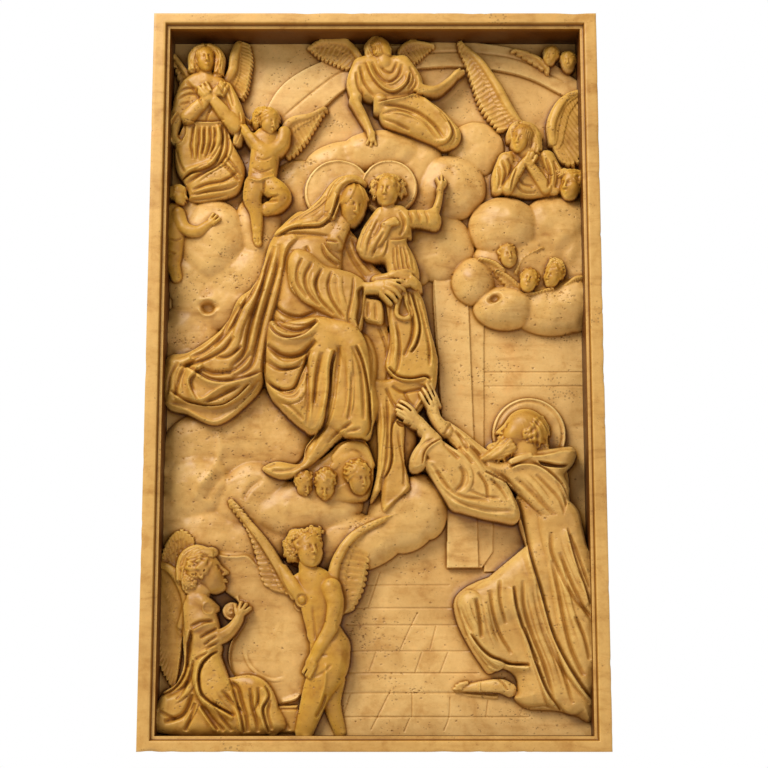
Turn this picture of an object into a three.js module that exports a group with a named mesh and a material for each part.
// Stone relief panel: one slab of travertine with its own stepped frame, carved in high relief.
// Millimetres. The front faces -Y, the back is the plane y = 0, +Z is up.
import * as THREE from 'three';

// ---- sizes of the slab and its frame
const WIDTH = 917, HEIGHT = 1500, THICK = 140;
const SIDE_BAND = 24, END_BAND = 20;      // flat outer band
const SPLAY = 3, SPLAY_DEPTH = 12;        // small splayed step inside the band
const FILLET = 6;                         // light fillet beside the deep reveal
const RECESS = 100;                       // face of the frame to the sunk ground
const GROUND = THICK - RECESS;            // stone left behind the sunk ground
const INX = WIDTH / 2 - SIDE_BAND - SPLAY - FILLET;
const INZ = HEIGHT / 2 - END_BAND - SPLAY - FILLET - 0.5;
const FINE = 60000, TRIANGLES = 9500;     // facets of the carved field, before and after thinning

// ---- the drawing: places are given on a front elevation seen from a little below,
// 768 units square, and h is the height above the sunk ground in millimetres
const PITCH = 10 * Math.PI / 180, CT = Math.cos(PITCH), ST = Math.sin(PITCH);
const SCALE = 1711, STAND_OFF = 3414, OFF_X = 18.5, OFF_Z = -31.6, UNIT = 2.0;
function place(u, v, h) {
  const d = RECESS - h, a = (u - 384) / SCALE, b = (384 - v) / SCALE;
  const y = (b * STAND_OFF + d * (b * CT + ST)) / (CT - b * ST);
  return [a * (STAND_OFF + y * ST + d * CT) + OFF_X, y + OFF_Z];
}

// ---- the field as a height grid
const N = 513;
const DX = 2 * INX / (N - 1), DZ = 2 * INZ / (N - 1);
const H = new Float64Array(N * N), ID = new Int16Array(N * N);
let cur = 0, blend = 0;
const figure = (n, b) => { cur = n; blend = b; };
const clampI = (x) => Math.min(Math.max(x, 0), N - 1);
function cells(x0, x1, z0, z1, fn) {
  const i0 = clampI(Math.floor((x0 + INX) / DX)), i1 = clampI(Math.ceil((x1 + INX) / DX));
  const j0 = clampI(Math.floor((z0 + INZ) / DZ)), j1 = clampI(Math.ceil((z1 + INZ) / DZ));
  for (let j = j0; j <= j1; j++) for (let i = i0; i <= i1; i++) fn(j * N + i, i * DX - INX, j * DZ - INZ);
}
function put(k, v) {
  const old = H[k];
  if (v > old) H[k] = v;
  if (blend > 0 && ID[k] === cur) {
    const q = Math.max(blend - Math.abs(v - old), 0) / blend;
    H[k] = Math.max(v, old) + q * q * blend * 0.25;
  }
  if (v > old) ID[k] = cur;
}
function surf(u, v) {
  let h = 40, p = [0, 0];
  for (let n = 0; n < 6; n++) {
    p = place(u, v, h);
    h = 0.5 * h + 0.5 * H[clampI(Math.round((p[1] + INZ) / DZ)) * N + clampI(Math.round((p[0] + INX) / DX))];
  }
  return place(u, v, h);
}
function spline(P, closed, n = 6) {
  const m = P.length, out = [];
  const at = (k) => {
    if (closed) return P[(k + m) % m];
    if (k < 0) return P[0].map((c, q) => 2 * c - P[1][q]);
    if (k >= m) return P[m - 1].map((c, q) => 2 * c - P[m - 2][q]);
    return P[k];
  };
  for (let k = 0; k < (closed ? m : m - 1); k++) {
    const [a, b, c, d] = [at(k - 1), at(k), at(k + 1), at(k + 2)];
    for (let s = 0; s < n; s++) {
      const t = s / n;
      out.push(b.map((_, q) => 0.5 * (2 * b[q] + (c[q] - a[q]) * t + (2 * a[q] - 5 * b[q] + 4 * c[q] - d[q]) * t * t
        + (3 * b[q] - a[q] - 3 * c[q] + d[q]) * t * t * t)));
    }
  }
  if (!closed) out.push(P[m - 1]);
  return out;
}
const clamp01 = (t) => Math.min(Math.max(t, 0), 1);

// ---- carving: round limbs, domes, cloths, hollows, folds and laid-over edges
function limb(P, k = 1) {
  const S = spline(P, false).map((p) => [...place(p[0], p[1], p[2] + 4), p[2], p[3] * UNIT]);
  const best = new Map();
  for (let s = 0; s + 1 < S.length; s++) {
    const a = S[s], b = S[s + 1], dx = b[0] - a[0], dz = b[1] - a[1], L = dx * dx + dz * dz + 1e-9;
    const r = Math.max(a[3], b[3]);
    cells(Math.min(a[0], b[0]) - r, Math.max(a[0], b[0]) + r, Math.min(a[1], b[1]) - r, Math.max(a[1], b[1]) + r, (c, x, z) => {
      const t = clamp01(((x - a[0]) * dx + (z - a[1]) * dz) / L);
      const q = (a[3] + (b[3] - a[3]) * t) ** 2 - (x - a[0] - t * dx) ** 2 - (z - a[1] - t * dz) ** 2;
      if (q > 0) {
        const v = a[2] + (b[2] - a[2]) * t + k * Math.sqrt(q);
        if (!(best.get(c) >= v)) best.set(c, v);
      }
    });
  }
  for (const [c, v] of best) put(c, v);
}
function dome(u, v, rx, ry, rot, base, lift, at) {
  const [cx, cz] = place(u, v, at), a = rx * UNIT, b = ry * UNIT, R = Math.max(a, b);
  const c = Math.cos(rot * Math.PI / 180), s = Math.sin(rot * Math.PI / 180);
  cells(cx - R, cx + R, cz - R, cz + R, (k, x, z) => {
    const p = (x - cx) * c + (z - cz) * s, q = -(x - cx) * s + (z - cz) * c;
    const e = 1 - (p / a) ** 2 - (q / b) ** 2;
    if (e > 0) put(k, base + lift * Math.sqrt(e));
  });
}
const blob = (u, v, rx, ry, rot, h, k = 1) => dome(u, v, rx, ry, rot, h, k * UNIT * Math.min(rx, ry), h + 4);
const puff = (u, v, rx, ry, rot, h) => dome(u, v, rx, ry, rot, 0, h, h * 0.6);
const head = (u, v, r, h, yaw, pitch, roll) => blob(u, v, r * 0.86, r * 1.06, roll, h, 0.8);
function line(Q, x, z, closed) {
  let D = 1e18, T = 0, S = 0, inside = false;
  const n = Q.length, m = closed ? n : n - 1;
  for (let k = 0; k < m; k++) {
    const a = Q[k], b = Q[(k + 1) % n], dx = b[0] - a[0], dz = b[1] - a[1];
    const t = clamp01(((x - a[0]) * dx + (z - a[1]) * dz) / (dx * dx + dz * dz + 1e-12));
    const d = (x - a[0] - t * dx) ** 2 + (z - a[1] - t * dz) ** 2;
    if (d < D) { D = d; T = (k + t) / m; S = dx * (z - a[1]) - dz * (x - a[0]); }
    if (closed && (a[1] > z) !== (b[1] > z) && x < a[0] + (z - a[1]) * dx / dz) inside = !inside;
  }
  return { d: Math.sqrt(D), t: T, left: S > 0, inside };
}
function extent(Q, r) {
  const X = Q.map((p) => p[0]), Z = Q.map((p) => p[1]);
  return [Math.min(...X) - r, Math.max(...X) + r, Math.min(...Z) - r, Math.max(...Z) + r];
}
function cloth(P, h0, h1, e) {
  const Q = spline(P, true).map((p) => place(p[0], p[1], h0));
  cells(...extent(Q, 0), (c, x, z) => {
    const s = line(Q, x, z, true);
    if (s.inside) put(c, h0 + (h1 - h0) * Math.sqrt(1 - (1 - clamp01(s.d / (e * UNIT))) ** 2));
  });
}
function slab(P, h0, h1, e) {
  const Q = P.map((p) => place(p[0], p[1], h0));
  cells(...extent(Q, 0), (c, x, z) => {
    const s = line(Q, x, z, true);
    if (s.inside) put(c, h0 + (h1 - h0) * Math.sqrt(1 - (1 - clamp01(s.d / (e * UNIT))) ** 2));
  });
}
function dig(P, h, e) {
  const Q = spline(P, true).map((p) => place(p[0], p[1], h + 10));
  cells(...extent(Q, 0), (c, x, z) => {
    const s = line(Q, x, z, true);
    if (!s.inside) return;
    let t = clamp01(s.d / (e * UNIT));
    t = t * t * (3 - 2 * t);
    H[c] = Math.min(H[c], H[c] + (h - H[c]) * t);
  });
}
function fold(P, w, a, ends = 0.25) {
  const Q = spline(P, false).map((p) => surf(p[0], p[1]));
  cells(...extent(Q, w * UNIT * 2.4), (c, x, z) => {
    if (ID[c] !== cur) return;
    const s = line(Q, x, z, false), p = clamp01(Math.min(s.t, 1 - s.t) / ends);
    H[c] += a * Math.exp(-((s.d / (w * UNIT)) ** 2)) * Math.sqrt(p * (2 - p));
  });
}
function edge(P, w, a, ends = 0.2) {
  const Q = spline(P, false).map((p) => surf(p[0], p[1]));
  cells(...extent(Q, w * UNIT * 2.4), (c, x, z) => {
    const s = line(Q, x, z, false);
    if (ID[c] !== cur || !s.left) return;
    H[c] += a * clamp01(Math.min(s.t, 1 - s.t) / ends) * (1 - clamp01(s.d / (w * UNIT * 2.4))) ** 2;
  });
}
const groove = (P, w, a) => fold(P, w, -a, 0.08);
function ring(u, v, r, w, a, h) {
  const [cx, cz] = place(u, v, h), R = (r + 3 * w) * UNIT;
  cells(cx - R, cx + R, cz - R, cz + R, (c, x, z) => {
    if (ID[c] === cur) H[c] += a * Math.exp(-(((Math.hypot(x - cx, z - cz) - r * UNIT) / (w * UNIT)) ** 2));
  });
}
function disc(u, v, r, h) {
  const [cx, cz] = place(u, v, h), R = r * UNIT;
  cells(cx - R, cx + R, cz - R, cz + R, (c, x, z) => {
    const d = R - Math.hypot(x - cx, z - cz);
    if (d > 0) put(c, h - 3 * (1 - Math.sqrt(1 - (1 - clamp01(d / 3)) ** 2)));
  });
}
function slope(v0, h0, v1, h1) {
  const z0 = place(384, v0, h0)[1], z1 = place(384, v1, h1)[1];
  for (let j = 0; j < N; j++) {
    const z = j * DZ - INZ;
    if (z > z0) continue;
    for (let i = 0; i < N; i++) H[j * N + i] = Math.max(H[j * N + i], h0 + (h1 - h0) * clamp01((z - z0) / (z1 - z0)));
  }
}
// feathers fanned from a leading bone B to a line of tips T
function wing(B, T, n, h, r) {
  const walk = (S, t) => {
    const L = [0];
    for (let k = 1; k < S.length; k++) L.push(L[k - 1] + Math.hypot(S[k][0] - S[k - 1][0], S[k][1] - S[k - 1][1]));
    let k = 1;
    while (k < S.length - 1 && L[k] < t * L[L.length - 1]) k++;
    const f = (t * L[L.length - 1] - L[k - 1]) / (L[k] - L[k - 1]);
    return [0, 1].map((q) => S[k - 1][q] + (S[k][q] - S[k - 1][q]) * f);
  };
  const SB = spline(B, false), SP = spline(T, false);
  for (let i = 0; i < n; i++) {
    const a = walk(SB, i / (n - 1)), b = walk(SP, i / (n - 1));
    limb([[a[0], a[1], h, r], [(a[0] + b[0]) / 2, (a[1] + b[1]) / 2, h, r * 1.05], [b[0], b[1], h - 2, r * 0.75]], 0.35);
  }
}

// ---- the scene, from the ground forward
// ground: the pavement comes forward towards the foot
slope(570, 0, 733, 30);
figure(1, 0);
// arch band
cloth([[262,128],[270,102],[288,80],[320,62],[360,50],[400,45],[440,42],[480,43],[520,50],[556,66],[584,88],[584,108],[563,96],[530,79],[492,70],[440,67],[390,75],[349,88],[326,106],[312,124],[290,140]], 7, 10, 2);
groove([[283,117],[300,102],[325,82],[345,70],[390,57],[440,52],[480,53],[520,60],[565,82]], 1.1, 3);
figure(2, 0);
// wall, pilaster and side band
slab([[478,300],[592,300],[592,572],[484,572],[484,560]], 5, 6, 1);
slab([[465,262],[484,262],[484,446],[493,524],[493,552],[482,568],[447,568],[447,515],[433,300],[433,262]], 8, 9, 1);
slab([[433,262],[467,262],[479,568],[447,568],[447,515]], 12, 13, 1);
// joints of the pavement
// clouds at the top and right
figure(3, 14);
puff(380,150,42,24,0,36);
puff(342,160,40,22,10,24);
puff(476,148,30,30,0,24);
puff(412,168,34,40,0,22);
puff(452,186,36,36,0,38);
puff(440,246,36,38,20,34);
puff(412,256,26,34,0,26);
puff(524,262,54,36,0,42);
puff(558,226,40,36,0,44);
puff(505,226,38,34,0,56);
puff(474,280,24,26,0,52);
puff(552,308,44,28,0,46);
puff(506,306,34,24,0,56);
puff(578,250,26,60,0,36);
puff(574,302,28,30,0,50);
puff(430,206,30,26,0,20);
// clouds at the left
puff(258,226,26,38,0,30);
puff(238,270,40,30,0,30);
puff(212,238,36,44,0,44);
puff(190,276,26,34,0,26);
puff(214,300,44,32,0,24);
puff(186,336,34,34,0,22);
puff(300,200,40,44,0,15);
puff(180,214,24,20,0,30);
dig([[196,306],[202,299],[214,299],[221,307],[214,316],[202,316]], 6, 8);
figure(4, 16);
// clouds below the mantle
puff(262,432,50,46,0,20);
puff(210,446,52,38,10,26);
puff(250,494,42,34,30,34);
puff(196,486,40,34,40,38);
puff(304,508,60,30,6,42);
puff(196,534,44,32,0,30);
puff(404,514,40,36,60,47.5);
puff(372,540,46,26,30,42);
puff(424,506,24,34,10,50);
puff(330,540,56,34,0,30);
puff(240,540,56,30,0,26);
puff(170,500,30,46,0,28);
// upper left angel: wings, skirt, body, sleeves, crossed arms
figure(5, 4);
wing([[191,82],[184,70],[178,62],[173,54]], [[180,86],[177,80],[175,72],[172,62]], 5, 20, 3);
limb([[192,80,24,3],[184,69,24,3],[174,55,22,2.5]], 0.8);
wing([[226,84],[232,72],[233,58],[234,48],[237,42]], [[238,106],[247,94],[251,76],[253,60],[250,45]], 15, 20, 3);
limb([[224,84,24,4],[232,70,26,5],[234,54,26,5],[237,44,24,4]], 0.7);
figure(6, 6);
cloth([[188,122],[180,134],[175,150],[176,170],[184,184],[189,196],[190,202],[206,203],[232,196],[241,188],[245,172],[242,160],[232,142],[226,122],[207,116]], 20, 40, 12);
cloth([[190,76],[204,73],[222,78],[232,94],[228,116],[226,124],[190,124],[182,110],[176,92]], 26, 46, 9);
limb([[190,84,34,7],[182,98,38,9],[180,112,38,9]], 0.65);
limb([[226,88,36,7],[234,106,40,8],[236,122,40,8]], 0.65);
// hanging sleeves
limb([[184,104,36,8],[174,120,36,7],[172,134,36,6],[178,140,36,5]], 0.6);
limb([[238,112,36,6],[240,128,36,6],[237,140,34,5]], 0.6);
limb([[188,116,46,8],[198,106,50,7],[208,97,52,5.5]], 0.75);
limb([[234,124,46,8],[224,112,50,7],[214,100,54,5.5]], 0.75);
limb([[208,97,56,5],[202,91,56,5]], 0.75);
limb([[214,94,52,4.5],[219,88,52,4.5]], 0.75);
edge([[223,142],[219,152],[216,160],[210,165],[200,169],[190,175],[184,182]], 5, 8);
fold([[192,122],[196,145],[194,166]], 1.6, -6);
fold([[206,122],[212,142],[211,160]], 1.6, -6);
fold([[216,124],[226,140],[228,156]], 1.6, -6);
fold([[192,190],[214,188],[234,180]], 1.8, -6);
fold([[208,170],[224,170],[238,162]], 1.8, -5);
limb([[206,80,36,8],[205,70,38,7]], 0.8);
head(205,59,15,40,14,6,-4,1);
// small child figure at the edge
figure(7, 5);
limb([[172,212,28,10],[174,232,30,11],[174,250,28,9],[174,262,26,7]], 0.7);
limb([[178,213,36,7],[184,227,40,6.5],[197,231,42,6],[208,224,42,4.6]], 0.8);
limb([[172,262,26,8],[176,276,28,6]], 0.8);
head(178,194,11.5,34,64,0,0,2);
// standing child angel
figure(8, 3);
wing([[284,140],[285,128],[292,120],[308,116],[325,107]], [[280,161],[292,157],[304,146],[314,130],[324,111]], 13, 22, 3);
limb([[284,142,24,4],[286,126,26,4.5],[294,119,26,4],[310,115,24,3],[324,107,22,2]], 0.8);
wing([[256,128],[249,120],[241,114]], [[251,132],[246,128],[240,120]], 5, 22, 3);
figure(9, 6);
limb([[266,140,36,15],[264,156,40,15],[262,172,38,15]], 0.6);
limb([[255,184,40,12],[252,196,42,10],[256,212,38,7],[257,228,34,5.5]], 0.75);
limb([[264,182,42,11],[276,189,46,11],[282,196,46,9.5],[276,204,40,8.5],[266,209,34,7]], 0.75);
limb([[256,228,34,5],[262,241,34,5]], 0.75);
limb([[254,140,40,7],[248,134,44,5],[245,128,46,4]], 0.8);
limb([[284,132,40,7],[281,144,44,7.5],[268,151,48,6.5],[254,142,50,5.5],[245,130,50,4.5]], 0.75);
head(269,120,14.5,46,34,-12,8,2);
// angel at the top
figure(10, 4);
wing([[360,58],[352,45],[338,39],[324,39],[311,45]], [[352,70],[342,68],[332,64],[320,58],[309,48]], 11, 22, 3);
wing([[398,52],[404,45],[416,42],[433,44]], [[408,66],[416,64],[424,56],[432,48]], 9, 22, 3);
limb([[360,58,26,4],[350,44,26,4],[336,40,24,4],[314,43,22,2.5]], 0.8);
limb([[400,50,24,3],[410,42,24,3],[432,44,22,2]], 0.8);
figure(11, 6);
cloth([[378,98],[392,96],[416,95],[434,104],[450,118],[461,134],[457,146],[444,150],[432,145],[410,136],[386,127],[378,114]], 26, 50, 11);
cloth([[360,58],[374,56],[392,56],[408,60],[418,74],[420,88],[412,96],[394,100],[376,102],[362,98],[352,84],[352,70]], 28, 50, 10);
limb([[360,64,40,8],[354,80,42,8],[356,96,42,6]], 0.65);
limb([[354,98,42,5.5],[362,112,42,5],[369,126,42,4],[371,134,40,3.5]], 0.8);
limb([[402,62,42,9],[414,76,44,8],[418,86,44,6]], 0.65);
limb([[420,88,42,6],[436,88,44,5],[450,78,42,4],[457,70,40,3.4]], 0.8);
limb([[380,100,44,7],[378,108,40,5]], 0.7);
edge([[446,140],[448,130],[440,119],[430,106],[424,96]], 6, 8);
fold([[392,118],[408,111],[424,118],[440,132]], 1.8, -6);
fold([[366,64],[362,82],[360,98]], 1.6, -6);
fold([[374,66],[376,82],[382,96]], 1.6, -6);
fold([[398,66],[402,78],[392,90]], 1.6, -6);
limb([[384,62,44,7],[383,54,44,6]], 0.8);
head(381,47,12.5,42,30,22,-6,1);
// angel at the right
figure(12, 4);
wing([[519,122],[508,106],[497,84],[480,60],[460,41]], [[506,140],[492,124],[480,108],[472,86],[462,52]], 19, 24, 3);
limb([[520,122,26,3.5],[509,106,28,4.5],[497,84,28,4.5],[480,60,26,3.5],[461,42,24,2]], 0.8);
wing([[552,140],[552,122],[558,104],[568,96],[582,90]], [[560,152],[566,164],[577,166],[582,150],[584,104]], 15, 24, 3);
limb([[552,142,26,3.5],[552,122,28,5],[559,105,28,5],[568,96,26,4],[582,90,24,3]], 0.8);
figure(13, 6);
cloth([[506,152],[498,164],[495,180],[496,192],[520,197],[546,197],[562,192],[562,176],[554,160],[540,150],[522,152]], 26, 40, 11);
limb([[506,158,38,8],[500,174,38,8],[498,188,36,6]], 0.65);
limb([[548,156,38,8],[554,172,38,9],[554,188,36,7]], 0.65);
limb([[508,188,42,5.5],[516,174,46,5],[524,162,50,4]], 0.8);
limb([[546,187,42,6],[538,175,46,5.5],[530,164,50,4.5]], 0.8);
limb([[526,160,50,4],[532,154,52,3.6]], 0.8);
fold([[503,158],[510,172],[506,186]], 1.6, -6);
fold([[545,160],[542,172],[548,186]], 1.6, -6);
limb([[526,152,38,8],[526,144,40,7]], 0.8);
head(522,138,15.5,42,-24,-6,10,1);
// cherub heads
figure(14, 3);
wing([[548,70],[540,60],[528,52],[514,49]], [[550,74],[542,70],[530,62],[515,52]], 7, 20, 2);
limb([[548,68,22,2.4],[536,56,22,2.4],[515,49,20,1.6]], 0.8);
head(551,54,11,28,-20,-8,8,2);
head(569,60,11.5,28,-16,0,-6,2);
head(572,184,17,38,-36,0,4,2);
wing([[502,268],[494,262],[480,258]], [[506,276],[496,272],[482,262]], 6, 36, 2);
limb([[504,270,38,2.2],[494,262,38,2.2],[481,258,36,1.6]], 0.8);
wing([[516,272],[524,258],[541,248]], [[522,274],[534,264],[542,252]], 6, 36, 2);
limb([[516,272,38,2.2],[524,258,38,2.2],[540,248,36,1.6]], 0.8);
wing([[520,286],[508,276],[497,270]], [[518,300],[508,288],[499,277]], 7, 36, 2);
limb([[520,286,38,2.2],[508,276,38,2.2],[498,270,36,1.6]], 0.8);
wing([[526,294],[538,292],[552,288]], [[522,300],[536,299],[549,294]], 6, 36, 2);
wing([[566,284],[576,278],[584,277]], [[562,296],[574,292],[583,287]], 6, 36, 2);
limb([[566,286,38,2.2],[575,278,38,2.2],[584,276,36,1.6]], 0.8);
head(508,255,13.5,38,8,4,-6,2);
head(529,280,13.5,40,-6,10,14,2);
head(554,274,13.5,40,-36,-14,12,2);
// haloes of the seated pair
figure(15, 0);
disc(338,192,35,30);
ring(338,192,33,1.0,3,30);
disc(389,187,29.5,34);
ring(389,187,27.5,1.0,3,34);
// mantle of the seated figure
figure(20, 6);
cloth([[304,212],[284,224],[270,243],[262,270],[252,288],[238,300],[228,320],[214,336],[190,352],[166,360],[165,404],[187,414],[210,425],[226,422],[246,406],[262,386],[268,350],[280,300],[292,262],[320,240]], 28, 60, 18);
dig([[165,403],[180,398],[200,402],[216,404],[232,399],[252,384],[262,372],[261,386],[246,405],[226,421],[210,424],[187,413]], 42, 5);
fold([[264,262],[256,282],[249,302],[244,330],[240,354],[226,368]], 2.6, -18);
fold([[238,300],[228,318],[221,336],[206,350]], 2.4, -15);
fold([[200,361],[216,357],[228,356]], 2.0, -12);
fold([[194,372],[212,385],[236,380],[256,374]], 2.8, -15);
fold([[202,370],[216,372],[240,354]], 2.2, -11);
fold([[193,359],[182,372],[177,394]], 2.4, -13);
fold([[272,240],[276,262],[264,300],[256,340],[250,368]], 2.6, 9);
fold([[216,392],[240,378],[256,360]], 3.0, 9);
fold([[198,398],[192,384],[200,374]], 2.2, 8);
// body, lap and skirts
figure(21, 8);
cloth([[286,238],[284,262],[278,300],[270,330],[264,372],[270,396],[282,410],[304,429],[318,430],[328,400],[340,330],[342,270],[340,240],[320,234]], 42, 60, 14);
blob(312,262,28,30,10,42,0.5);
cloth([[262,469],[276,461],[300,463],[306,446],[318,430],[330,400],[340,340],[364,334],[378,350],[379,372],[378,386],[382,407],[374,424],[368,440],[346,436],[332,446],[318,460],[300,474],[280,479]], 40, 62, 12);
cloth([[270,322],[286,324],[304,318],[326,318],[346,328],[362,338],[372,356],[370,380],[372,410],[370,432],[360,438],[345,437],[328,426],[318,430],[304,429],[282,410],[268,388],[266,356]], 56, 78, 15);
limb([[290,336,62,15],[322,336,72,16],[318,380,66,13],[312,424,58,9]], 0.55);
limb([[322,330,64,14],[350,340,76,14],[358,380,70,12],[360,426,62,9]], 0.55);
fold([[330,352],[326,390],[324,414],[310,440],[302,458],[284,464],[268,470]], 3.6, -26, 0.15);
fold([[364,350],[366,380],[370,408],[369,430],[352,438],[334,442],[324,456]], 3.0, -20, 0.15);
fold([[268,348],[286,357],[304,350]], 3.0, -18);
fold([[266,382],[284,387],[302,370]], 2.6, -16);
fold([[270,320],[286,331],[304,330]], 2.6, -12);
fold([[316,344],[309,366],[303,392]], 2.4, -12);
fold([[282,398],[296,402],[306,420]], 2.4, -10);
fold([[346,346],[350,380],[346,416]], 2.6, -9);
fold([[338,346],[336,390],[332,420]], 2.4, 7);
// bodice folds
// veil, neck and shoulders
figure(22, 6);
cloth([[354,178],[342,176],[330,184],[320,198],[306,210],[290,220],[274,234],[288,240],[304,239],[322,241],[338,242],[344,228],[348,196],[362,186]], 48, 62, 8);
limb([[334,244,50,10],[340,232,54,7.5],[345,220,56,7]], 0.8);
head(352,203,21,58,24,-12,10,3);
fold([[340,190],[333,203],[329,220]], 1.4, -8);
fold([[300,218],[286,230],[276,244]], 1.8, -7);
edge([[284,272],[287,256],[296,242],[310,239],[340,242],[352,252]], 6, 8);
// near sleeve, forearm and hands
figure(23, 5);
cloth([[288,262],[296,250],[312,254],[326,266],[340,270],[354,274],[366,285],[364,310],[362,330],[356,333],[342,326],[326,316],[308,306],[298,298],[290,287]], 58, 84, 13);
limb([[352,290,66,7],[370,287,72,6],[382,288,76,6]], 0.8);
limb([[382,288,76,6],[404,292,78,4]], 0.8);
limb([[376,279,62,5],[388,276,68,5],[396,275,70,4.5]], 0.8);
limb([[388,276,74,5],[408,276,76,4]], 0.8);
cloth([[364,298],[370,299],[382,303],[383,323],[374,324],[364,320],[362,306]], 52, 62, 3);
fold([[314,262],[306,282],[320,306]], 2.2, -12);
fold([[330,272],[330,292],[344,318]], 2.4, -12);
fold([[300,256],[298,276],[310,298]], 2.2, -9);
// cherub heads under the feet
figure(24, 5);
cloth([[300,470],[316,462],[330,452],[338,444],[352,439],[364,440],[371,452],[374,470],[372,490],[366,500],[350,503],[330,503],[312,500],[298,494]], 26, 40, 8);
puff(350,466,20,24,0,48);
wing([[344,486],[336,490],[328,498]], [[366,500],[350,500],[334,502]], 6, 34, 2);
head(304,483,13,40,30,-30,10,2);
head(325,484,15,44,0,-34,0,2);
head(358,477,17,48,30,-10,0,2);
// child on the lap
figure(30, 5);
blob(390,232,18,26,0,56,0.5);
cloth([[374,222],[362,236],[357,246],[361,258],[372,262],[384,262],[390,276],[404,278],[419,278],[416,260],[406,240],[412,236],[406,208],[384,208]], 52, 70, 8);
limb([[404,218,62,9],[418,216,64,9],[432,218,64,10]], 0.65);
limb([[435,210,66,4.5],[439,198,66,3.5],[441,186,66,3]], 0.8);
limb([[380,214,60,8],[370,230,64,9],[364,246,64,8]], 0.7);
fold([[421,210],[422,222],[412,236]], 1.8, -7);
fold([[412,212],[414,222],[406,238]], 1.8, -7);
fold([[404,240],[408,256],[416,272]], 1.8, -7);
fold([[374,226],[366,240],[362,256]], 1.8, -7);
limb([[388,214,58,7],[388,204,60,7]], 0.8);
head(388,190,17.5,62,-14,2,4,2);
// hanging cloth, tag and cord
figure(31, 3);
cloth([[384,296],[398,288],[414,288],[424,300],[430,326],[437,352],[438,366],[434,390],[418,384],[400,382],[386,368],[390,342],[387,312]], 50, 64, 7);
cloth([[370,384],[386,380],[404,378],[434,380],[430,396],[412,420],[400,416],[393,424],[393,450],[390,470],[383,482],[380,492],[370,502],[377,470],[377,430]], 38, 54, 6);
cloth([[394,424],[404,424],[404,450],[406,474],[410,488],[400,498],[384,512],[383,496],[385,480],[392,468],[393,446]], 42, 52, 5);
limb([[404,284,76,5],[416,284,76,5]], 0.8);
fold([[411,300],[418,325],[418,340],[408,356]], 2.0, -10);
fold([[425,306],[431,330],[433,350]], 1.8, -7);
fold([[398,322],[400,340],[396,360]], 2.0, 6);
fold([[386,396],[382,440],[380,480]], 1.8, -7);
edge([[433,380],[425,377],[398,377],[387,366]], 4, 5);
// kneeling figure: halo, robe, cape, head, arms
figure(40, 0);
disc(529.5,434,37.5,24);
ring(529.5,434,33.5,1.3,-4,24);
figure(41, 6);
cloth([[515,500],[526,548],[522,560],[500,573],[478,581],[462,590],[454,602],[457,622],[468,645],[480,664],[489,674],[503,669],[515,677],[517,690],[514,699],[527,709],[556,711],[575,716],[594,713],[596,600],[592,560],[580,536],[570,500],[566,470],[540,462]], 26, 60, 20);
limb([[550,560,36,26],[512,592,46,26],[482,610,50,22]], 0.5);
limb([[470,602,62,12],[482,636,56,12],[496,662,50,9]], 0.55);
// sandalled foot
limb([[458,690,24,3],[478,687,30,5],[500,686,34,7],[510,690,32,7]], 0.75);
fold([[470,636],[482,649],[502,661],[530,667]], 3.0, -18);
fold([[460,604],[466,625],[474,640]], 2.0, -8);
fold([[476,596],[479,618],[482,640]], 2.2, -10);
fold([[514,580],[514,600],[522,628],[534,656]], 3.0, -13);
fold([[548,556],[562,588],[580,614],[594,630]], 2.6, -13);
fold([[572,536],[576,562],[588,604]], 2.6, -13);
fold([[550,620],[560,648],[576,676],[593,700]], 2.6, -12);
edge([[556,708],[545,690],[538,668],[528,640]], 6, 12);
edge([[594,700],[572,664],[552,628],[534,570],[526,530],[515,498]], 7, 12, 0.05);
figure(42, 5);
cloth([[470,460],[484,456],[500,462],[516,456],[532,450],[548,449],[562,447],[572,446],[577,452],[574,463],[564,475],[570,488],[569,500],[573,516],[578,530],[560,527],[546,522],[530,508],[518,494],[500,480],[484,474]], 50, 76, 13);
cloth([[430,456],[438,448],[446,447],[452,452],[466,447],[482,460],[498,474],[512,492],[520,512],[516,523],[500,521],[480,517],[462,512],[452,509],[444,498],[434,482],[424,463]], 58, 84, 12);
// cuff and forearm towards the hands
limb([[452,462,74,13],[438,450,74,12],[430,442,72,10]], 0.5);
limb([[424,434,72,8],[412,462,66,6]], 0.3);
// hands
limb([[434,438,66,7],[424,428,70,7]], 0.7);
limb([[446,430,62,7],[438,420,62,6],[432,410,62,5]], 0.7);
limb([[428,424,74,7],[412,408,76,5],[400,400,76,3]], 0.8);
limb([[424,430,72,6],[408,420,74,5],[398,409,74,3]], 0.8);
limb([[438,410,68,5],[428,390,66,4]], 0.8);
fold([[454,478],[460,468],[472,470],[474,480],[464,492],[450,497]], 1.8, -9);
fold([[484,474],[502,484],[514,500]], 2.0, -12);
edge([[577,529],[560,526],[545,521],[530,507],[516,488],[500,471]], 5, 9);
edge([[578,462],[556,463],[538,460]], 5, 9);
fold([[512,468],[536,463],[556,478],[566,496]], 2.0, -11);
figure(43, 5);
limb([[526,456,62,13],[524,444,62,12]], 0.6);
head(522,432,25.5,50,-82,0,22,4);
blob(498,450,15,10,-25,60,0.7);
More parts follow.
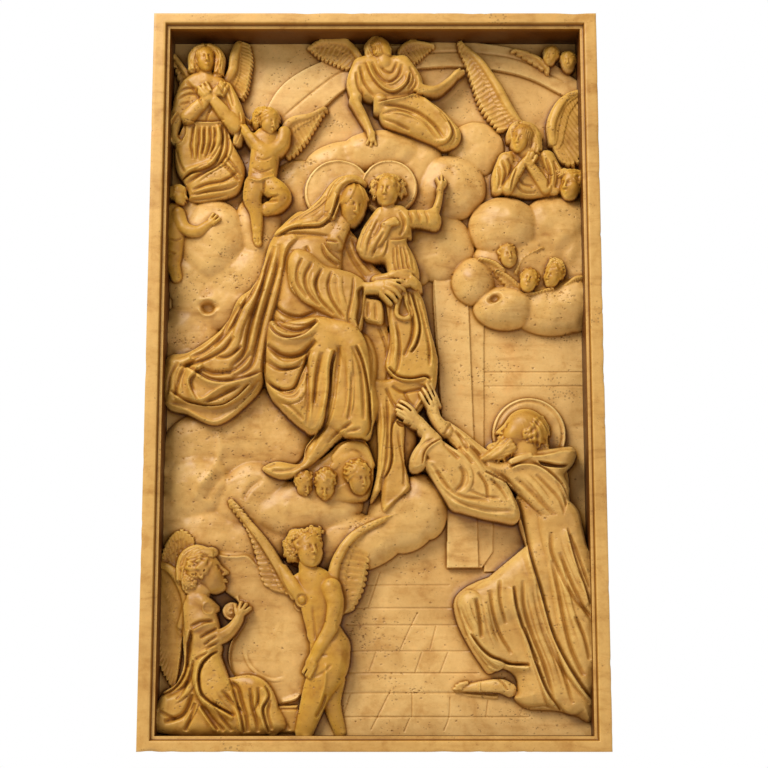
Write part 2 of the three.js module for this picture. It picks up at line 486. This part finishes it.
// lower left angel: wings, robe, arms, head
figure(50, 3);
wing([[192,538],[182,530],[172,536],[164,548],[160,562]], [[196,586],[190,582],[182,576],[172,572],[164,570]], 9, 34, 3);
wing([[162,566],[176,582],[186,600],[182,622]], [[158,606],[158,640],[160,668],[172,690]], 15, 32, 3);
limb([[160,564,40,3],[168,568,42,4],[178,578,42,5],[187,603,40,5],[181,626,36,4]], 0.8);
figure(51, 6);
cloth([[190,598],[184,612],[183,640],[184,664],[176,684],[160,697],[158,733],[278,733],[276,702],[268,688],[260,678],[240,677],[230,682],[224,682],[222,660],[220,640],[217,622],[210,604]], 38, 62, 14);
limb([[198,608,52,15],[202,630,56,17],[206,648,56,15]], 0.55);
limb([[204,660,56,16],[214,690,64,17],[232,716,52,13]], 0.55);
limb([[228,686,46,8],[252,688,54,12],[266,702,48,10],[272,728,40,8]], 0.6);
limb([[208,640,62,8],[224,634,64,7],[236,622,64,5],[240,612,62,4]], 0.7);
fold([[187,636],[186,662],[178,684],[160,694]], 3.0, -20, 0.15);
fold([[216,652],[200,664],[197,684],[206,700],[234,718]], 2.6, -16, 0.15);
fold([[192,690],[186,706],[178,716]], 3.0, -14);
fold([[196,700],[206,716],[216,732]], 2.4, -12);
fold([[236,694],[246,712],[248,732]], 2.2, -12);
fold([[266,690],[268,702],[258,712]], 2.4, -12);
fold([[200,638],[212,632],[218,628]], 2.0, -9);
limb([[192,598,54,6],[203,602,62,7],[213,608,60,5]], 0.7);
limb([[196,604,50,9],[201,590,52,9]], 0.7);
head(205,573,23,44,80,0,-22,2,0.98,0);
// oval shield with scrolls
figure(55, 3);
cloth([[207,547],[222,551],[246,553],[262,562],[290,580],[304,596],[312,622],[314,650],[308,672],[306,686],[298,702],[280,705],[256,694],[238,681],[229,662],[230,645],[236,634],[242,618],[238,602],[224,590],[214,570]], 20, 34, 10);
disc(231,611,9,40);
disc(302,604,8,40);
// winged child angel with the shield
figure(60, 3);
wing([[290,592],[278,566],[262,538],[244,514],[230,500]], [[282,582],[264,584],[256,560],[248,534],[234,508]], 17, 40, 3);
limb([[294,596,48,4],[282,572,48,5],[262,540,46,4.5],[230,501,40,2]], 0.85);
wing([[340,612],[333,580],[340,552],[362,530],[400,512]], [[343,618],[362,594],[369,566],[372,538],[399,515]], 19, 40, 3);
limb([[340,600,46,4],[333,578,46,5.5],[339,555,46,5],[358,532,44,4],[400,512,40,2]], 0.85);
figure(61, 7);
limb([[300,580,46,8],[314,580,50,14],[328,584,46,11]], 0.7);
limb([[316,588,48,18],[318,606,50,17],[322,626,48,16],[330,646,48,19]], 0.6);
limb([[330,648,50,20],[328,668,52,19],[316,694,50,14],[304,732,44,9]], 0.65);
limb([[332,680,40,13],[332,704,36,9],[340,732,32,6]], 0.7);
limb([[331,588,64,10],[335,604,70,8.5],[331,626,74,7],[319,648,74,6],[310,663,72,5]], 0.75);
limb([[309,578,50,10],[307,566,52,9]], 0.8);
head(308,549,19.5,52,26,10,-6,2);
// block and drapery at the foot
figure(62, 3);
slab([[279,706],[298,705],[302,733],[268,733],[268,712]], 30, 40, 3);

// ---- soften for the faceted solid, and keep the carving behind the frame's face
function soften(times) {
  for (let n = 0; n < times; n++) {
    for (const [step, count, hop] of [[1, N, N], [N, N, 1]]) {
      for (let q = 0; q < count; q++) {
        let prev = H[q * hop];
        for (let p = 1; p < N - 1; p++) {
          const k = q * hop + p * step, now = H[k];
          H[k] = 0.25 * prev + 0.5 * now + 0.25 * H[k + step];
          prev = now;
        }
      }
    }
  }
}
soften(3);
const MARGIN = 6;
for (let j = 0; j < N; j++) {
  for (let i = 0; i < N; i++) {
    const d = Math.min(i * DX, (N - 1 - i) * DX, j * DZ, (N - 1 - j) * DZ);
    H[j * N + i] = Math.min(H[j * N + i], d < MARGIN ? 78 : 96);
  }
}

// ---- right-triangle mesh of the field, finer where the carving asks for it;
// the error counts by the length it runs over, so steep edges don't take every triangle
const at = (x, y) => y * N + x;
const err = new Float64Array(N * N);
for (let s = 1; s < N - 1; s *= 2) {
  for (let y = 0; y < N; y += s) {
    for (let x = 0; x < N; x += s) {
      const ox = (x / s) % 2, oy = (y / s) % 2;
      if (ox + oy !== 1) continue;                    // middle of an upright or level side
      const k = at(x, y);
      let e = s * Math.abs(H[k] - 0.5 * (ox ? H[k - s] + H[k + s] : H[k - s * N] + H[k + s * N]));
      const q = s / 2;
      if (q >= 1) for (const [dx, dy] of [[-q, -q], [q, -q], [-q, q], [q, q]]) {
        if (x + dx >= 0 && x + dx < N && y + dy >= 0 && y + dy < N) e = Math.max(e, err[at(x + dx, y + dy)]);
      }
      err[k] = Math.max(err[k], e);
    }
  }
  for (let y = s; y < N; y += 2 * s) {
    for (let x = s; x < N; x += 2 * s) {               // middle of a square
      const k = at(x, y), even = (((x - s) / (2 * s)) + ((y - s) / (2 * s))) % 2 === 0;
      const mean = even ? H[at(x - s, y - s)] + H[at(x + s, y + s)] : H[at(x + s, y - s)] + H[at(x - s, y + s)];
      err[k] = Math.max(s * Math.abs(H[k] - 0.5 * mean), err[k - s], err[k + s], err[k - s * N], err[k + s * N]);
    }
  }
}
function mesh(tol) {
  const out = [], M = N - 1;
  const split = (ax, ay, bx, by, cx, cy) => {
    const mx = (ax + bx) >> 1, my = (ay + by) >> 1;
    if (Math.abs(ax - cx) + Math.abs(ay - cy) > 1 && err[at(mx, my)] > tol) {
      split(cx, cy, ax, ay, mx, my);
      split(bx, by, cx, cy, mx, my);
    } else out.push([at(ax, ay), at(bx, by), at(cx, cy)]);
  };
  split(0, 0, M, M, M, 0);
  split(M, M, 0, 0, 0, M);
  return out;
}
let lo = 0.05, hi = 2000;
for (let n = 0; n < 20; n++) {
  const mid = Math.sqrt(lo * hi);
  if (mesh(mid).length > FINE) lo = mid; else hi = mid;
}

// ---- thin the field out: an edge closes onto one of its ends where that moves the surface least,
// and only while every facet still faces the front, so the field stays one clean skin
function thin(tris, target) {
  const X = (k) => (k % N) * DX - INX, Z = (k) => Math.floor(k / N) * DZ - INZ;
  const T = tris.map(([a, b, c]) => {
    const t = (X(b) - X(a)) * (Z(c) - Z(a)) - (Z(b) - Z(a)) * (X(c) - X(a));
    return t > 0 ? [a, b, c] : [a, c, b];
  });
  const star = new Map(), Q = new Map(), stamp = new Map();
  const add = (m, k, v) => { if (!m.has(k)) m.set(k, new Set()); m.get(k).add(v); };
  const plane = (t) => {
    const [a, b, c] = t, ux = X(b) - X(a), uy = H[b] - H[a], uz = Z(b) - Z(a);
    const vx = X(c) - X(a), vy = H[c] - H[a], vz = Z(c) - Z(a);
    let nx = uy * vz - uz * vy, ny = uz * vx - ux * vz, nz = ux * vy - uy * vx;
    const l = Math.hypot(nx, ny, nz) + 1e-12;
    nx /= l; ny /= l; nz /= l;
    return [nx, ny, nz, -(nx * X(a) + ny * H[a] + nz * Z(a)), l];
  };
  const fold4 = (q, p, w) => {
    let n = 0;
    for (let i = 0; i < 4; i++) for (let j = i; j < 4; j++) q[n++] += w * p[i] * p[j];
  };
  const side = (k) => {
    const i = k % N, j = Math.floor(k / N);
    return (i === 0 ? 1 : 0) | (i === N - 1 ? 2 : 0) | (j === 0 ? 4 : 0) | (j === N - 1 ? 8 : 0);
  };
  T.forEach((t, n) => {
    const p = plane(t);
    for (const k of t) {
      add(star, k, n);
      if (!Q.has(k)) { Q.set(k, new Float64Array(10)); stamp.set(k, 0); }
      fold4(Q.get(k), p, Math.min(p[4], 400));
    }
  });
  const value = (q, k) => {
    const v = [X(k), H[k], Z(k), 1];
    let n = 0, e = 0;
    for (let i = 0; i < 4; i++) for (let j = i; j < 4; j++) e += q[n++] * v[i] * v[j] * (i === j ? 1 : 2);
    return e;
  };
  const heap = [];
  const push = (x) => {
    let i = heap.push(x) - 1;
    while (i > 0) {
      const p = (i - 1) >> 1;
      if (heap[p][0] <= heap[i][0]) break;
      [heap[p], heap[i]] = [heap[i], heap[p]];
      i = p;
    }
  };
  const pop = () => {
    const top = heap[0], last = heap.pop();
    if (heap.length) {
      heap[0] = last;
      let i = 0;
      for (;;) {
        const l = 2 * i + 1;
        let m = i;
        if (l < heap.length && heap[l][0] < heap[m][0]) m = l;
        if (l + 1 < heap.length && heap[l + 1][0] < heap[m][0]) m = l + 1;
        if (m === i) break;
        [heap[m], heap[i]] = [heap[i], heap[m]];
        i = m;
      }
    }
    return top;
  };
  const near = (k) => {
    const out = new Set();
    for (const n of star.get(k)) for (const v of T[n]) if (v !== k) out.add(v);
    return out;
  };
  const offer = (u, v) => {
    const su = side(u), sv = side(v);
    if (su) {
      if ((su & (su - 1)) !== 0 || (su & sv) !== su) return;   // corners stay, rims run along themselves
    }
    const qu = Q.get(u), qv = Q.get(v), q = qu.map((c, i) => c + qv[i]);
    const far = Math.hypot(X(u) - X(v), H[u] - H[v], Z(u) - Z(v));
    push([Math.max(value(q, v), 0) + 0.002 * far * far, u, v, stamp.get(u), stamp.get(v)]);
  };
  for (const k of star.keys()) for (const v of near(k)) offer(k, v);
  let count = T.length;
  while (count > target && heap.length) {
    const [, u, v, su, sv] = pop();
    if (!star.has(u) || !star.has(v) || stamp.get(u) !== su || stamp.get(v) !== sv) continue;
    const shared = [...star.get(u)].filter((n) => T[n].includes(v));
    const nu = near(u), nv = near(v);
    let common = 0;
    for (const k of nu) if (nv.has(k)) common++;
    if (common !== shared.length || (side(u) ? shared.length !== 1 : shared.length !== 2)) continue;
    let ok = true;
    for (const n of star.get(u)) {
      if (T[n].includes(v)) continue;
      const [a, b, c] = T[n].map((k) => (k === u ? v : k));
      const t = (X(b) - X(a)) * (Z(c) - Z(a)) - (Z(b) - Z(a)) * (X(c) - X(a));
      const longest = Math.max(Math.hypot(X(b) - X(a), Z(b) - Z(a)), Math.hypot(X(c) - X(b), Z(c) - Z(b)), Math.hypot(X(a) - X(c), Z(a) - Z(c)));
      if (t < 1.2 || t < 0.035 * longest * longest) { ok = false; break; }
    }
    if (!ok) continue;
    for (const n of shared) for (const k of T[n]) star.get(k).delete(n);
    count -= shared.length;
    for (const n of star.get(u)) {
      T[n] = T[n].map((k) => (k === u ? v : k));
      star.get(v).add(n);
    }
    star.delete(u);
    const q = Q.get(v), p = Q.get(u);
    for (let i = 0; i < 10; i++) q[i] += p[i];
    stamp.set(v, stamp.get(v) + 1);
    for (const k of near(v)) { offer(k, v); offer(v, k); }
  }
  const keep = new Set();
  for (const s of star.values()) for (const n of s) keep.add(n);
  return [...keep].map((n) => T[n]);
}
const field = thin(mesh(hi), TRIANGLES);

// ---- closed solid: field, four reveal walls, stepped frame, sides and back
const pos = [], idx = [], seen = new Map();
function vertex(x, y, z) {
  const key = `${x.toFixed(3)},${y.toFixed(3)},${z.toFixed(3)}`;
  if (!seen.has(key)) { seen.set(key, pos.length / 3); pos.push(x, y, z); }
  return seen.get(key);
}
const fieldPoint = (k) => [(k % N) * DX - INX, -(GROUND + H[k]), Math.floor(k / N) * DZ - INZ];
function tri(a, b, c) {
  const ids = [vertex(...a), vertex(...b), vertex(...c)];
  if (ids[0] !== ids[1] && ids[1] !== ids[2] && ids[0] !== ids[2]) idx.push(...ids);
}
const used = new Set();
for (const [a, b, c] of field) {
  const [p, q, r] = [fieldPoint(a), fieldPoint(b), fieldPoint(c)];
  const turn = (q[0] - p[0]) * (r[2] - p[2]) - (q[2] - p[2]) * (r[0] - p[0]);
  if (turn > 0) tri(p, q, r); else tri(p, r, q);       // outward is -Y
  used.add(a); used.add(b); used.add(c);
}
const lip = THICK - SPLAY_DEPTH;
const rows = [...used];
// each wall: [fixed axis value, is it upright, outward sign]
function wall(ids, along, make) {
  ids.sort((a, b) => along(a) - along(b));
  const low = ids.map((k) => new THREE.Vector2(along(k), -(GROUND + H[k])));
  const a = low[0].x, b = low[low.length - 1].x;
  const outline = [...low, new THREE.Vector2(b, -lip), new THREE.Vector2(a, -lip)];
  for (const t of THREE.ShapeUtils.triangulateShape(outline, [])) make(outline[t[0]], outline[t[1]], outline[t[2]]);
}
const facing = (n, a, b, c) => {
  const u = [0, 1, 2].map((q) => b[q] - a[q]), w = [0, 1, 2].map((q) => c[q] - a[q]);
  const x = u[1] * w[2] - u[2] * w[1], y = u[2] * w[0] - u[0] * w[2], z = u[0] * w[1] - u[1] * w[0];
  if (x * n[0] + y * n[1] + z * n[2] > 0) tri(a, b, c); else tri(a, c, b);
};
const zOf = (k) => Math.floor(k / N) * DZ - INZ, xOf = (k) => (k % N) * DX - INX;
for (const side of [0, N - 1]) {
  const x = side * DX - INX, n = [side ? -1 : 1, 0, 0];
  wall(rows.filter((k) => k % N === side), zOf, (p, q, r) => facing(n, ...[p, q, r].map((c) => [x, c.y, c.x])));
  const z = side * DZ - INZ, m = [0, 0, side ? -1 : 1];
  wall(rows.filter((k) => Math.floor(k / N) === side), xOf, (p, q, r) => facing(m, ...[p, q, r].map((c) => [c.x, c.y, z])));
}
const loop = (x, z, y) => [[-x, y, -z], [x, y, -z], [x, y, z], [-x, y, z]];
const frame = [
  loop(INX, INZ, -lip),
  loop(INX + FILLET, INZ + FILLET, -lip),
  loop(WIDTH / 2 - SIDE_BAND, HEIGHT / 2 - END_BAND, -THICK),
  loop(WIDTH / 2, HEIGHT / 2, -THICK),
  loop(WIDTH / 2, HEIGHT / 2, 0),
];
for (let s = 0; s + 1 < frame.length; s++) {
  for (let k = 0; k < 4; k++) {
    const a = frame[s][k], b = frame[s][(k + 1) % 4], c = frame[s + 1][(k + 1) % 4], d = frame[s + 1][k];
    const out = s < 3 ? [0, -1, 0] : [[0, 0, -1], [1, 0, 0], [0, 0, 1], [-1, 0, 0]][k];
    facing(out, a, b, c);
    facing(out, a, c, d);
  }
}
const back = frame[frame.length - 1];
facing([0, 1, 0], back[0], back[1], back[2]);
facing([0, 1, 0], back[0], back[2], back[3]);

const geometry = new THREE.BufferGeometry();
geometry.setAttribute('position', new THREE.Float32BufferAttribute(pos, 3));
geometry.setIndex(idx);
geometry.computeVertexNormals();

const travertine = new THREE.MeshStandardMaterial({ color: new THREE.Color(0.78, 0.58, 0.32), roughness: 0.6, metalness: 0 });
const panel = new THREE.Mesh(geometry, travertine);
panel.name = 'relief_panel';

const group = new THREE.Group();
group.add(panel);
export default group;
